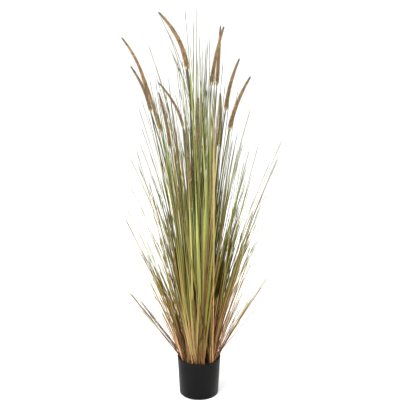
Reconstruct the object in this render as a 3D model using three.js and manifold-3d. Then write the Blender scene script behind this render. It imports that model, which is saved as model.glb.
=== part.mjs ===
// A tall field grass in a plastic pot: flower spikes on thin stems, among tufts of long narrow blades.
// Units are millimetres and +Z is up. +X is the plant's right and -Y is its front.
// The origin is the middle of the pot's flat underside.
import * as THREE from 'three';
import { mergeVertices } from 'three/addons/utils/BufferGeometryUtils.js';
import Module from 'manifold-3d';

const wasm = await Module();
wasm.setup();

// The pot tapers a little towards its base, and the fill ends just below its rim.
const POT_HEIGHT = 155;
const POT_RIM_RADIUS = 84;
const POT_BASE_RADIUS = 76;
const POT_WALL = 2.5;
const POT_FLOOR = 3;
const POT_EDGE_ROUNDING = 5;
const POT_RIM_CHAMFER = 1;
const POT_SIDES = 40;
const FILL_BELOW_RIM = 9;
const FILL_TOP = POT_HEIGHT - FILL_BELOW_RIM;
const CLEARANCE = 0.3;

// Stems and tufts stand on pegs in sockets in the fill. A stem is upright up to just above its socket,
// and its foot is at this share of its neck's distance from the plant's axis.
const PEG_DEPTH = 30;
const STEM_RADIUS = 2.2;
const STEM_TOP_RADIUS = 1.8;
const STEM_SIDES = 5;
const STEM_SEGMENTS = 5;
const STEM_UPRIGHT = 1;
const STEM_FOOT_SHARE = 0.3;

// Flower spikes are thickest just above the neck and taper to a fine tip.
const SPIKE_SIDES = 7;
const SPIKE_STATIONS = [0, 0.06, 0.25, 0.5, 0.75, 0.94, 1];
const SPIKE_FULLNESS = [0.8, 1, 0.94, 0.75, 0.54, 0.34, 0];

// Each tuft has a collar, a peg below it, and blades that leave the collar in as many directions.
const COLLAR_RADIUS = 6.5;
const COLLAR_HEIGHT = 12;
const COLLAR_SIDES = 6;
const TUFT_PEG_RADIUS = 4;
const BLADE_ROOT_HEIGHT = 4;
const BLADE_ROOT_OFFSET = 3.6;
const BLADES_PER_TUFT = 4;
const BLADE_STATIONS = [0, 0.2, 0.45, 0.7, 0.9, 1];
const BLADE_FULLNESS = [0.5, 0.9, 1, 0.58, 0.2, 0];
const BLADE_HALF_WIDTH = { least: 2.8, most: 5 };
const BLADE_THICKNESS = 2;

// What a blade may give way where it would meet another piece. A leader gives its tip's depth and a share
// of its bow, and a companion gives a share of its length and the side that it leans to.
const LEADER_DEPTH_GIVE = 200;
const LEADER_BOW_GIVE = 1.4;
const COMPANION_LENGTH_GIVE = 0.35;

// A companion blade is shorter than its tuft's leader and ends some way to its side of it.
const COMPANION_LENGTH = { least: 0.62, most: 0.95 };
const COMPANION_REACH = { least: 0.8, most: 1.1 };
const COMPANION_OFFSET = { least: 20, most: 70 };
const COMPANION_BOW = { least: 0.9, most: 1.2 };
const COMPANION_MOST_BOW = 1.35;

// Feet crowd towards the rim for short blades and towards the middle for tall ones.
const FOOT_RADIUS = { outer: 70, inner: 14 };
const LEADER_HEIGHT = { lowest: 420, highest: 1500 };
const FOOT_SPACING = 2 * COLLAR_RADIUS + 1.5;
const STEM_SPACING = COLLAR_RADIUS + STEM_RADIUS + 2;
const FOOT_SEARCH_STEP = 1;
const FOOT_SEARCH_DEGREES = 15;

// Two pieces that lean the same way need this much more room between them, measured level.
const SLANT_ALLOWANCE = 1.3;
const HEIGHT_STEP = 8;
const MOST_TRIES = 400;

// The neck ends a stem and carries its spike. A larger bow keeps the stem upright for longer. A spike
// with an arch of 0 is straight, and one with an arch of 1 leaves the neck in line with its stem.
const FLOWERS = [
  { neck: [-44, 70, 1265], tip: [-148, 95, 1465], thickness: 17, bow: 4, arch: 0.9 },
  { neck: [-23, 115, 1112], tip: [-52, 125, 1298], thickness: 16, bow: 2, arch: 0 },
  { neck: [-187, 20, 1162], tip: [-277, 25, 1378], thickness: 14, bow: 1.7, arch: 1.5 },
  { neck: [-170, -80, 1128], tip: [-235, -110, 1288], thickness: 12, bow: 2.5, arch: 1.4 },
  { neck: [-144, 90, 1031], tip: [-205, 120, 1228], thickness: 15, bow: 2, arch: 0 },
  { neck: [-55, -130, 1080], tip: [-140, -165, 1240], thickness: 11, bow: 2, arch: 0.7 },
  { neck: [-103, -20, 990], tip: [-144, -30, 1190], thickness: 13, bow: 2, arch: 1.2 },
  { neck: [46, 70, 1208], tip: [92, 95, 1415], thickness: 15, bow: 1.4, arch: 0.6 },
  { neck: [64, -50, 1220], tip: [75, -65, 1423], thickness: 13, bow: 1.4, arch: 0.9 },
  { neck: [99, 40, 1117], tip: [148, 55, 1302], thickness: 13, bow: 2.2, arch: 1.3 },
  { neck: [109, -70, 1063], tip: [180, -95, 1252], thickness: 13, bow: 2.4, arch: 0.9 },
  { neck: [76, 120, 968], tip: [81, 150, 1166], thickness: 13, bow: 1, arch: 1.5 },
  { neck: [39, -50, 736], tip: [46, -60, 956], thickness: 14, bow: 1.4, arch: 0.1 },
  { neck: [-8, -25, 971], tip: [-2, -10, 1169], thickness: 16, bow: 1.6, arch: 0.6 },
  { neck: [-32, -60, 875], tip: [-54, -80, 1068], thickness: 14, bow: 1.4, arch: 0 },
];

// The tip of each tuft's longest blade, from the tallest tuft to the shortest. A tuft with no foot of its
// own stands on the side that its tip leans to.
const TUFTS = [
  { tip: [-7, -10, 1500], bow: 1.3 },
  { tip: [-49, -60, 1494], bow: 3, foot: [-4, -54] },
  { tip: [-147, 75, 1464], bow: 6 },
  { tip: [36, -60, 1394], bow: 1.4, foot: [46, -50] },
  { tip: [-184, -20, 1366], bow: 2.5 },
  { tip: [6, 130, 1320], bow: 1.5 },
  { tip: [89, 60, 1305], bow: 1.5 },
  { tip: [-125, -110, 1250], bow: 1.6, foot: [-34, -56] },
  { tip: [143, -10, 1212], bow: 1.6 },
  { tip: [-208, -60, 1176], bow: 1.5 },
  { tip: [187, -40, 1142], bow: 1.9 },
  { tip: [31, -230, 1018], bow: 1.6, foot: [12, -66] },
  { tip: [313, 40, 1015], bow: 1.4 },
  { tip: [-223, 30, 992], bow: 1.6 },
  { tip: [-254, -60, 970], bow: 1.8 },
  { tip: [178, -90, 950], bow: 1.4 },
  { tip: [-83, 215, 890], bow: 1.5 },
  { tip: [206, 110, 866], bow: 1.3 },
  { tip: [64, 230, 848], bow: 1.5 },
  { tip: [235, -60, 826], bow: 1.15 },
  { tip: [-279, 20, 765], bow: 1.3 },
  { tip: [186, -150, 657], bow: 1.1 },
  { tip: [-210, -140, 647], bow: 1.1 },
  { tip: [-41, -275, 624], bow: 1.2 },
  { tip: [272, -20, 505], bow: 1.05 },
  { tip: [95, 265, 450], bow: 1.1 },
  { tip: [-286, 30, 424], bow: 1 },
  { tip: [-161, 235, 420], bow: 1.1 },
];

const potPlastic = new THREE.MeshStandardMaterial({ color: '#28282a', roughness: 0.42, metalness: 0 });
const fillCement = new THREE.MeshStandardMaterial({ color: '#2b2118', roughness: 0.95, metalness: 0 });
const stemPlastic = new THREE.MeshStandardMaterial({ color: '#4c5532', roughness: 0.6, metalness: 0 });
const spikeFibre = new THREE.MeshStandardMaterial({ color: '#a87f52', roughness: 0.95, metalness: 0 });
const bladePlastic = new THREE.MeshStandardMaterial({ color: '#8f9455', roughness: 0.6, metalness: 0 });

// The same seed always gives the same plant.
function seededRandom(seed) {
  let state = seed;
  return () => {
    state = (Math.imul(state, 1664525) + 1013904223) >>> 0;
    return state / 2 ** 32;
  };
}

const random = seededRandom(162);

function randomBetween({ least, most }) {
  return THREE.MathUtils.lerp(least, most, random());
}

function named(name, geometry, material) {
  const mesh = new THREE.Mesh(geometry, material);
  mesh.name = name;
  return mesh;
}

function numbered(name, index) {
  return `${name}_${String(index + 1).padStart(2, '0')}`;
}

// Merges shared corners and leaves out faces that have shrunk to a line, such as those at a pole.
function closedGeometry(geometry) {
  geometry.deleteAttribute('normal');
  geometry.deleteAttribute('uv');
  const merged = mergeVertices(geometry, 1e-3);
  const corners = merged.index.array;
  const kept = [];
  for (let first = 0; first < corners.length; first += 3) {
    const [a, b, c] = corners.slice(first, first + 3);
    if (a !== b && b !== c && c !== a) kept.push(a, b, c);
  }
  merged.setIndex(kept);
  return merged;
}

function toSolid(geometry) {
  const closed = closedGeometry(geometry);
  return new wasm.Manifold(new wasm.Mesh({
    numProp: 3,
    vertProperties: new Float32Array(closed.attributes.position.array),
    triVerts: new Uint32Array(closed.index.array),
  }));
}

function toGeometry(solid) {
  const mesh = solid.getMesh();
  const geometry = new THREE.BufferGeometry();
  geometry.setAttribute('position', new THREE.BufferAttribute(mesh.vertProperties, 3));
  geometry.setIndex(new THREE.BufferAttribute(mesh.triVerts, 1));
  geometry.computeVertexNormals();
  return geometry;
}

// Turns a profile of [radius, height] pairs about the upright axis.
function turned(profile, sides) {
  const points = profile.map(([radius, height]) => new THREE.Vector2(radius, height));
  return new THREE.LatheGeometry(points, sides).rotateX(Math.PI / 2);
}

function potRadius(height) {
  return THREE.MathUtils.lerp(POT_BASE_RADIUS, POT_RIM_RADIUS, height / POT_HEIGHT);
}

function pot() {
  const bottomEdge = [];
  for (const degrees of [0, 45, 90]) {
    const angle = THREE.MathUtils.degToRad(degrees);
    bottomEdge.push([
      POT_BASE_RADIUS - POT_EDGE_ROUNDING * (1 - Math.sin(angle)),
      POT_EDGE_ROUNDING * (1 - Math.cos(angle)),
    ]);
  }
  return turned([
    [0, 0],
    ...bottomEdge,
    [POT_RIM_RADIUS, POT_HEIGHT - POT_RIM_CHAMFER],
    [POT_RIM_RADIUS - POT_RIM_CHAMFER, POT_HEIGHT],
    [POT_RIM_RADIUS - POT_WALL, POT_HEIGHT],
    [potRadius(POT_FLOOR) - POT_WALL, POT_FLOOR],
    [0, POT_FLOOR],
  ], POT_SIDES);
}

// The fill is cast round the pegs, so it has one socket for each of them, clear of its corners.
function fill(pegs) {
  const floor = POT_FLOOR + CLEARANCE;
  let solid = toSolid(turned([
    [0, floor],
    [potRadius(floor) - POT_WALL - CLEARANCE, floor],
    [potRadius(FILL_TOP) - POT_WALL - CLEARANCE, FILL_TOP],
    [0, FILL_TOP],
  ], POT_SIDES));
  for (const { foot, radius, sides } of pegs) {
    const depth = PEG_DEPTH + CLEARANCE;
    const reach = (radius + CLEARANCE) / Math.cos(Math.PI / sides);
    const socket = new THREE.CylinderGeometry(reach, reach, 2 * depth, sides);
    socket.rotateX(Math.PI / 2).translate(foot.x, foot.y, FILL_TOP);
    solid = solid.subtract(toSolid(socket));
  }
  return toGeometry(solid);
}

// A line leaves its foot and leans out to its end, the later the larger its bow.
function leaningLine(foot, end, bow, stations) {
  return stations.map((share) => new THREE.Vector3(
    THREE.MathUtils.lerp(foot.x, end.x, share ** bow),
    THREE.MathUtils.lerp(foot.y, end.y, share ** bow),
    THREE.MathUtils.lerp(foot.z, end.z, share),
  ));
}

// Bends a straight cylinder or cone along a line. Each of its rings becomes a section of the given half
// width and half thickness, and facing is the level direction that the section's thickness follows.
function bentAlong(line, geometry, halfWidths, halfThicknesses, facing) {
  const position = geometry.attributes.position;
  const spot = new THREE.Vector3();
  for (let index = 0; index < position.count; index += 1) {
    spot.fromBufferAttribute(position, index);
    const ring = Math.round((spot.y + 0.5) * (line.length - 1));
    const before = line[Math.max(ring - 1, 0)];
    const after = line[Math.min(ring + 1, line.length - 1)];
    const along = after.clone().sub(before).normalize();
    const side = along.clone().cross(facing).normalize();
    const front = side.clone().cross(along);
    const around = new THREE.Vector2(spot.x, spot.z).normalize();
    spot.copy(line[ring]);
    spot.addScaledVector(side, around.x * halfWidths[ring]);
    spot.addScaledVector(front, around.y * halfThicknesses[ring]);
    position.setXYZ(index, spot.x, spot.y, spot.z);
  }
  return geometry;
}

// The level direction from the plant's axis out to a point.
function outwards(point) {
  return new THREE.Vector3(point.x, point.y, 0).normalize();
}

// Everything that stands in the plant so far: owner, line, and the half width at each of its points.
const standing = [];

function stand(owner, line, halfWidths) {
  standing.push({ owner, line, halfWidths, isCollar: false });
}

function sectionAt({ line, halfWidths }, height) {
  const upper = Math.max(1, line.findIndex((point) => point.z >= height));
  const lower = upper - 1;
  const share = (height - line[lower].z) / (line[upper].z - line[lower].z);
  return {
    centre: line[lower].clone().lerp(line[upper], share),
    radius: THREE.MathUtils.lerp(halfWidths[lower], halfWidths[upper], share),
  };
}

function clearOfPot(piece) {
  const { centre, radius } = sectionAt(piece, POT_HEIGHT);
  const opening = POT_RIM_RADIUS - POT_WALL - CLEARANCE;
  return Math.hypot(centre.x, centre.y) + radius * SLANT_ALLOWANCE < opening;
}

// Blades of one tuft spread from the same place and may pass close by each other.
function clearOf(piece, other) {
  const allowance = piece.owner === other.owner ? 1 : SLANT_ALLOWANCE;
  const low = Math.max(piece.line[0].z, other.line[0].z);
  const high = Math.min(piece.line.at(-1).z, other.line.at(-1).z);
  for (let height = low; height <= high; height += HEIGHT_STEP) {
    const mine = sectionAt(piece, height);
    const theirs = sectionAt(other, height);
    const apart = Math.hypot(mine.centre.x - theirs.centre.x, mine.centre.y - theirs.centre.y);
    if (apart < (mine.radius + theirs.radius + CLEARANCE) * allowance) return false;
  }
  return true;
}

function fits(piece) {
  const inTheWay = standing.filter((other) => !(other.isCollar && other.owner === piece.owner));
  return clearOfPot(piece) && inTheWay.every((other) => clearOf(piece, other));
}

// Grass and stems can't stand in each other, so a blade that meets another piece is drawn again,
// with more give and a little narrower each time.
function growBlade(grown, number) {
  const widest = randomBetween(BLADE_HALF_WIDTH);
  const draw = number === 0 ? leaderLine : companionLine;
  for (let attempt = 0; attempt < MOST_TRIES; attempt += 1) {
    const looseness = attempt / MOST_TRIES;
    const halfWidth = THREE.MathUtils.lerp(widest, BLADE_HALF_WIDTH.least, looseness);
    const halfWidths = BLADE_FULLNESS.map((fullness) => fullness * halfWidth);
    const line = draw(grown, number, looseness);
    if (fits({ owner: grown.owner, line, halfWidths })) {
      stand(grown.owner, line, halfWidths);
      grown.blades.push({ line, halfWidths });
      return;
    }
  }
  throw new Error(`no room for blade ${number} of ${grown.owner}`);
}

function stemLine(flower) {
  const neck = new THREE.Vector3(...flower.neck);
  const foot = neck.clone().multiplyScalar(STEM_FOOT_SHARE).setZ(FILL_TOP + STEM_UPRIGHT);
  const stations = Array.from({ length: STEM_SEGMENTS }, (_, index) => index / (STEM_SEGMENTS - 1));
  const pegEnd = foot.clone().setZ(FILL_TOP - PEG_DEPTH);
  return [pegEnd, ...leaningLine(foot, neck, flower.bow, stations)];
}

// The spike arches over from its neck to its tip. Its crest is out along the stem's last stretch.
function spikeLine(flower, stem) {
  const neck = stem.at(-1);
  const tip = new THREE.Vector3(...flower.tip);
  const along = neck.clone().sub(stem.at(-2)).normalize();
  const middle = neck.clone().lerp(tip, 0.5);
  const ahead = neck.clone().addScaledVector(along, neck.distanceTo(tip) / 2);
  const curve = new THREE.QuadraticBezierCurve3(
    neck.clone().addScaledVector(along, 2 * CLEARANCE),
    middle.clone().lerp(ahead, flower.arch),
    tip,
  );
  return SPIKE_STATIONS.map((share) => curve.getPoint(share));
}

function flowerPieces(flower, index) {
  const stem = stemLine(flower);
  const spike = spikeLine(flower, stem);
  const facing = outwards(stem.at(-1));
  const stemRadii = stem.map((_, ring) => (ring < 2 ? STEM_RADIUS : STEM_TOP_RADIUS));
  const spikeRadii = SPIKE_FULLNESS.map((fullness) => (fullness * flower.thickness) / 2);
  stand(numbered('flower', index), stem, stemRadii);
  stand(numbered('flower', index), spike, spikeRadii);
  const rod = new THREE.CylinderGeometry(1, 1, 1, STEM_SIDES, stem.length - 1);
  const cone = new THREE.ConeGeometry(1, 1, SPIKE_SIDES, spike.length - 1);
  const stemRod = bentAlong(stem, rod, stemRadii, stemRadii, facing);
  const spikeCone = bentAlong(spike, cone, spikeRadii, spikeRadii, facing);
  return {
    foot: stem[0],
    stem: named(numbered('flower_stem', index), stemRod, stemPlastic),
    spike: named(numbered('flower_spike', index), spikeCone, spikeFibre),
  };
}

// Looks for the clear spot in the fill that is nearest to the wanted one.
function clearFoot(wanted, feet) {
  for (let reach = 0; reach < POT_RIM_RADIUS; reach += FOOT_SEARCH_STEP) {
    for (let degrees = 0; degrees < 360; degrees += FOOT_SEARCH_DEGREES) {
      const angle = THREE.MathUtils.degToRad(degrees);
      const spot = new THREE.Vector3(
        wanted.x + reach * Math.cos(angle),
        wanted.y + reach * Math.sin(angle),
        wanted.z,
      );
      const inside = Math.hypot(spot.x, spot.y) <= FOOT_RADIUS.outer;
      const clear = feet.every(({ foot, room }) => Math.hypot(foot.x - spot.x, foot.y - spot.y) >= room);
      if (inside && clear) return spot;
    }
  }
  throw new Error('no room for a foot');
}

function wantedFoot(tuft) {
  if (tuft.foot) return new THREE.Vector3(...tuft.foot, FILL_TOP);
  const tip = new THREE.Vector3(...tuft.tip);
  const tallness = THREE.MathUtils.inverseLerp(LEADER_HEIGHT.lowest, LEADER_HEIGHT.highest, tip.z);
  const radius = THREE.MathUtils.lerp(FOOT_RADIUS.outer, FOOT_RADIUS.inner, tallness);
  return outwards(tip).multiplyScalar(radius).setZ(FILL_TOP);
}

function turnedLevel(direction, angle) {
  return direction.clone().applyAxisAngle(new THREE.Vector3(0, 0, 1), angle);
}

// The side of its tuft that a blade grows from. The leader, number 0, grows from the outer side.
function sideOfTuft(foot, number) {
  return turnedLevel(outwards(foot), (number * 2 * Math.PI) / BLADES_PER_TUFT);
}

function bladeRoot(foot, side) {
  const root = foot.clone().addScaledVector(side, BLADE_ROOT_OFFSET);
  return root.setZ(foot.z + BLADE_ROOT_HEIGHT);
}

// The leader keeps its height and its place from the front. Only its depth and bow may give way.
function leaderLine({ tuft, foot }, number, looseness) {
  const end = new THREE.Vector3(...tuft.tip);
  end.y += (random() - 0.5) * LEADER_DEPTH_GIVE * looseness;
  const bow = tuft.bow * (1 + (random() - 0.5) * LEADER_BOW_GIVE * looseness);
  return leaningLine(bladeRoot(foot, sideOfTuft(foot, number)), end, bow, BLADE_STATIONS);
}

function companionLine({ tuft, foot }, number, looseness) {
  const side = sideOfTuft(foot, number);
  const away = turnedLevel(side, (random() - 0.5) * looseness * 2 * Math.PI);
  const share = randomBetween(COMPANION_LENGTH) * (1 - COMPANION_LENGTH_GIVE * looseness);
  const tip = new THREE.Vector3(...tuft.tip);
  const end = foot.clone().lerp(tip, share * randomBetween(COMPANION_REACH));
  end.addScaledVector(away, randomBetween(COMPANION_OFFSET));
  end.z = THREE.MathUtils.lerp(foot.z, tip.z, share);
  const bow = Math.min(tuft.bow * randomBetween(COMPANION_BOW), COMPANION_MOST_BOW);
  return leaningLine(bladeRoot(foot, side), end, bow, BLADE_STATIONS);
}

// A blade is a long triangle in section: flat on its inner face, with a midrib along its back.
function blade(line, halfWidths) {
  const cone = new THREE.ConeGeometry(1, 1, 3, line.length - 1);
  const cornerWidths = halfWidths.map((halfWidth) => halfWidth / Math.sin(Math.PI / 3));
  const cornerThicknesses = BLADE_FULLNESS.map((fullness) => (fullness * BLADE_THICKNESS * 2) / 3);
  return bentAlong(line, cone, cornerWidths, cornerThicknesses, outwards(line.at(-1)));
}

function collar(foot) {
  const profile = [
    [0, -PEG_DEPTH],
    [TUFT_PEG_RADIUS, -PEG_DEPTH],
    [TUFT_PEG_RADIUS, CLEARANCE],
    [COLLAR_RADIUS, CLEARANCE],
    [COLLAR_RADIUS, COLLAR_HEIGHT],
    [0, COLLAR_HEIGHT],
  ];
  return turned(profile, COLLAR_SIDES).translate(foot.x, foot.y, foot.z);
}

function standCollar(owner, foot) {
  const line = [foot, foot.clone().setZ(foot.z + COLLAR_HEIGHT)];
  standing.push({ owner, line, halfWidths: [COLLAR_RADIUS, COLLAR_RADIUS], isCollar: true });
}

function tuftPiece(grown) {
  let solid = toSolid(collar(grown.foot));
  for (const { line, halfWidths } of grown.blades) solid = solid.add(toSolid(blade(line, halfWidths)));
  return named(grown.owner, toGeometry(solid), bladePlastic);
}

function growTufts(stemFeet) {
  const feet = stemFeet.map((foot) => ({ foot, room: STEM_SPACING }));
  const tufts = TUFTS.map((tuft, index) => {
    const foot = clearFoot(wantedFoot(tuft), feet);
    feet.push({ foot, room: FOOT_SPACING });
    return { tuft, foot, owner: numbered('grass_tuft', index), blades: [] };
  });
  for (const { foot, owner } of tufts) standCollar(owner, foot);
  for (let number = 0; number < BLADES_PER_TUFT; number += 1) {
    for (const grown of tufts) growBlade(grown, number);
  }
  return tufts;
}

const plant = new THREE.Group();
const flowers = FLOWERS.map(flowerPieces);
const tufts = growTufts(flowers.map((flower) => flower.foot));
const pegs = [
  ...flowers.map(({ foot }) => ({ foot, radius: STEM_RADIUS, sides: STEM_SIDES })),
  ...tufts.map(({ foot }) => ({ foot, radius: TUFT_PEG_RADIUS, sides: COLLAR_SIDES })),
];
plant.add(named('pot', pot(), potPlastic));
plant.add(named('fill', fill(pegs), fillCement));
plant.add(...flowers.map((flower) => flower.stem));
plant.add(...flowers.map((flower) => flower.spike));
plant.add(...tufts.map(tuftPiece));

export default plant;
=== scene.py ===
import math
import random
from dataclasses import dataclass, field

import bmesh
import bpy
import numpy as np
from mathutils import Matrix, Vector, noise


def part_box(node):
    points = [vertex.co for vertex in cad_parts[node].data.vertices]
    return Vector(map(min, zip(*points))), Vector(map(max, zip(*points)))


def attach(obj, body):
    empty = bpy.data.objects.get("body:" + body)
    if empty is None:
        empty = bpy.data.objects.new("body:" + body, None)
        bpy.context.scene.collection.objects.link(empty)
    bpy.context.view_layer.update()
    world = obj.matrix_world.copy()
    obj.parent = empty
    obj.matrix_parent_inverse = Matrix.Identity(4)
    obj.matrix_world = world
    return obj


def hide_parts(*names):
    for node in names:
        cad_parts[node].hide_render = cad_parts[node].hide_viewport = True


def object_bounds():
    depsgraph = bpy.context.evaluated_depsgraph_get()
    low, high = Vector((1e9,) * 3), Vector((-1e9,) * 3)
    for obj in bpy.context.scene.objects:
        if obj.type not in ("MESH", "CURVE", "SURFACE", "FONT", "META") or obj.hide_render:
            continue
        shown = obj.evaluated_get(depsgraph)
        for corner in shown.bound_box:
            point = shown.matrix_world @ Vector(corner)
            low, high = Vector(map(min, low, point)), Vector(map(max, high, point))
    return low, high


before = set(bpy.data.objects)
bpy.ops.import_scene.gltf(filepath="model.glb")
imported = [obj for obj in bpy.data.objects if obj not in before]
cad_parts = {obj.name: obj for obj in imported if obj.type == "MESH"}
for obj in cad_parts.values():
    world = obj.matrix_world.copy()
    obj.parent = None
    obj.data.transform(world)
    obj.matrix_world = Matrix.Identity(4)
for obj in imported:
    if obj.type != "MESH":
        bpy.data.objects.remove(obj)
cad_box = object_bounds()

# Lengths are metres. +Z is up, and -Y is the plant's front.
MM = 0.001
FULL_TURN = 2 * math.pi
GOLDEN_TURN = math.pi * (3 - math.sqrt(5))
JOIN_DISTANCE = 0.01 * MM

# The pot's size comes from the frame. Its wall is moulded thin, with a foot ring under its base.
POT_LOW, POT_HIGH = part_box("pot")
POT_HEIGHT = POT_HIGH.z
POT_RADIUS = (POT_HIGH.x - POT_LOW.x) / 2
POT_BASE_RADIUS = 76 * MM
POT_WALL = 2.5 * MM
POT_FLOOR = 3 * MM
POT_EDGE = 5 * MM
POT_RIM_EDGE = 0.7 * MM
POT_FOOT_RING = 6 * MM
POT_FOOT_RISE = 1.2 * MM
POT_SIDES = 128

# The fill is cast a little below the rim. It stands up round whatever is set in it.
FILL_LOW, FILL_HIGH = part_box("fill")
FILL_GAP = 0.3 * MM
FILL_RINGS = 18
FILL_SIDES = 96
FILL_LUMP = 7 * MM
FILL_LUMP_HEIGHT = 1.6 * MM
FILL_MOUND = 9 * MM
FILL_MOUND_HEIGHT = 2.5 * MM

# A blade is a strip folded along its middle. It is flat and full for most of its length. Its last
# stretch, the same on long blades and short ones, is drawn out to a thread and folded tighter.
BLADE_SHARES = [0, 0.04, 0.1, 0.18, 0.27, 0.36, 0.46, 0.56, 0.66, 0.76, 0.86, 0.94, 1]
BLADE_FULLNESS = [0.32, 0.44, 0.6, 0.8, 0.95, 1, 0.9, 0.68, 0.47, 0.3, 0.18, 0.1, 0]
BLADE_THINNESS = 0.07
BLADE_FOLD = (0.14, 1.0)
TAPER_SHARE = 0.36
TAPER_LENGTH = 360 * MM
TAPER_MOST = 0.62
THREAD_WIDTH = 2.1 * MM

# Some blades are broad and the rest are wiry. Pairs are for the lowest tuft and for the tallest.
BROAD_SHARE = (0.3, 0.5)
BROAD_NARROWEST = (3.5 * MM, 6 * MM)
BROAD_WIDEST = (6.5 * MM, 12 * MM)
WIRY_WIDTH = (2.2 * MM, 4.2 * MM)
LEADER_WIDTH = (2.8 * MM, 9 * MM)
LEADER_TONE = (0.05, 0.6)

# A few tufts have broad and light leaders, which stand out at the plant's front.
FRONT_LEADERS = {2: 11 * MM, 12: 13 * MM, 24: 8 * MM}
FRONT_LEADER_TONE = (0.5, 0.68)
FRONT_LEADER_MOST_DRYNESS = 0.06

# Every leader of a tuft has twins that end just short of it. A follower runs between two leaders.
TALL_TUFT = 1.5
LOW_TUFT = 0.42
TWINS = 3
TWIN_HEIGHT = (0.82, 0.985)
TWIN_SWAY = (0.06, 0.026)
# The more a tuft leans, the further its leaders stand out from the rest.
FOLLOWERS = (12, 26)
FOLLOWER_HEIGHT = (0.56, 0.99)
FOLLOWER_REACH = (0.4, 1.1)
FOLLOWER_MIX = 0.6
FOLLOWER_SWAY = (0.12, 0.08)
LEANING_LOSS = 0.5
ROOT_SPREAD = 13 * MM
ROOT_LIMIT = 76 * MM
ROOT_HEIGHT = FILL_HIGH.z - 1 * MM

# Leaders face the way that they lean, the other blades are turned more, and each twists on its way up.
LEADER_TURN = 0.35
BLADE_TURN = 1.2
BLADE_TWIST = 1.0

# The share of straw and of brown blades, in the lowest tuft and in the tallest.
STRAW_SHARE = (0.48, 0.26)
BROWN_SHARE = (0.2, 0.26)
GREEN_DRYNESS = (0, 0.28)
STRAW_DRYNESS = (0.38, 0.62)
BROWN_DRYNESS = (0.8, 1.0)
LEADER_MOST_DRYNESS = (0.6, 0.28)

# A blade shrinks as it dries, down to this share of its width when it is driest.
DRIEST_WIDTH = 0.5

# Blades are printed light or dark more often than in between. At 1 all tones would be as common.
TONE_SPREAD = 0.75
TONE_MOST = 0.9

# A blade's print turns from straw at the pot to full colour at this height above the rim. Its tip is
# printed dark, whatever its tone is below, and more so on the tallest blades.
TURN_HEIGHT = 0.42
TIP_GROWTH = (0.5, 1)
TIP_TONE = 0.38

# Painted shade and light: a blade's tone is painted darker in the plant's heart, where little light reaches, and
# lighter where the plant opens up. Pairs are at the rim and where the plant opens up, above it.
OPEN_HEIGHT = 0.8
HEART_RADIUS = (0.07, 0.26)
HEART_PAINTED_SHADE = 1.1
OPEN_PAINTED_LIGHT = 0.5

# The collar at the foot of each tuft, from the CAD solid of the same size.
COLLAR_RADIUS = 6.5 * MM
COLLAR_HEIGHT = 12 * MM
COLLAR_SIDES = 14
COLLAR_MOUTH = 0.82
COLLAR_WALL = 1.2 * MM
COLLAR_EDGE = 0.8 * MM

# A stem is a coated wire with a few joints along it, each with a raised ring.
STEM_RADIUS = 2.2 * MM
STEM_TOP_SHARE = 0.8
STEM_SIDES = 8
STEM_RINGS = 18
STEM_JOINTS = (0.24, 0.5, 0.76)
STEM_JOINT_LENGTH = 5 * MM
STEM_JOINT_SWELL = 1.35

# A flower spike has spikelets all round its core, with a bristle or two beside each of them. Its foot
# is blunt, with a few pale bristles left hanging down round the stem.
SPIKE_LENGTH = 210 * MM
SPIKE_SHARES = [0, 0.03, 0.08, 0.2, 0.35, 0.5, 0.65, 0.8, 0.92, 1]
SPIKE_FULLNESS = [0.9, 1, 1, 0.97, 0.91, 0.84, 0.75, 0.63, 0.46, 0.14]
SPIKE_FOOT_SHARE = -0.03
SPIKE_TOP_SHARE = 0.965
SPIKE_CORE_SHARE = 0.7
SPIKE_CORE_SIDES = 10
SPIKELETS = 220
SPIKELET_LENGTH = 11 * MM
SPIKELET_WIDTH = 4 * MM
BRISTLES = 560
BRISTLE_LENGTH = (7 * MM, 13 * MM)
BRISTLE_WIDTH = 0.6 * MM
NECK_BRISTLES = 24
NECK_BRISTLE_LENGTH = (5 * MM, 11 * MM)
SPIKE_TYPICAL_WIDTH = 14 * MM

# How wide each spike is, in millimetres, and how green and how dark: from 0, tan and light, to 1.
SPIKE_LOOKS = [
    (21, 0, 0), (18, 0.9, 0.4), (16, 0.1, 0), (15, 0.1, 0.4), (18, 0.2, 0.1),
    (12, 0.2, 0.5), (15, 0.2, 0.1), (17, 0, 0.1), (16, 0, 0.2), (18, 0, 0.1),
    (18, 0, 0.35), (17, 0, -0.2), (15, 0.3, 0.4), (20, 0.6, -0.9), (16, 0.6, -0.2),
]

# The solids' sides, by which their rings of points are told.
SOLID_SPIKE_SIDES = 7
SOLID_STEM_SIDES = 5
SOLID_BLADE_SIDES = 3

# The stage is a round floor with a wall, joined by a wide bend.
STAGE_RADIUS = 8
STAGE_WALL = 6
STAGE_BEND = 3
STAGE_SIDES = 96

# The camera stands as far off as makes the pot's rim and base look as round as they do.
CAMERA_PLACE = (4 * MM, -2.888, 1.531)
CAMERA_DOWN = math.radians(14.5)
CAMERA_LENS = 72
CAMERA_SENSOR = 36


def srgb(text):
    """A colour written as sRGB hex, turned to linear."""
    parts = [int(text[start:start + 2], 16) / 255 for start in (1, 3, 5)]
    linear = [part / 12.92 if part <= 0.04045 else ((part + 0.055) / 1.055) ** 2.4 for part in parts]
    return (*linear, 1.0)


def mixed(low, high, share):
    return low + (high - low) * share


def count_of(start):
    return sum(name.startswith(start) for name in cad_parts)


# Lines read from the frame's solids.

def joined_copy(node_name):
    """The mesh of a frame node with its loose triangles joined, in a bmesh of its own."""
    copy = bmesh.new()
    copy.from_mesh(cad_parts[node_name].data)
    bmesh.ops.remove_doubles(copy, verts=copy.verts, dist=JOIN_DISTANCE)
    copy.verts.index_update()
    return copy


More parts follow.
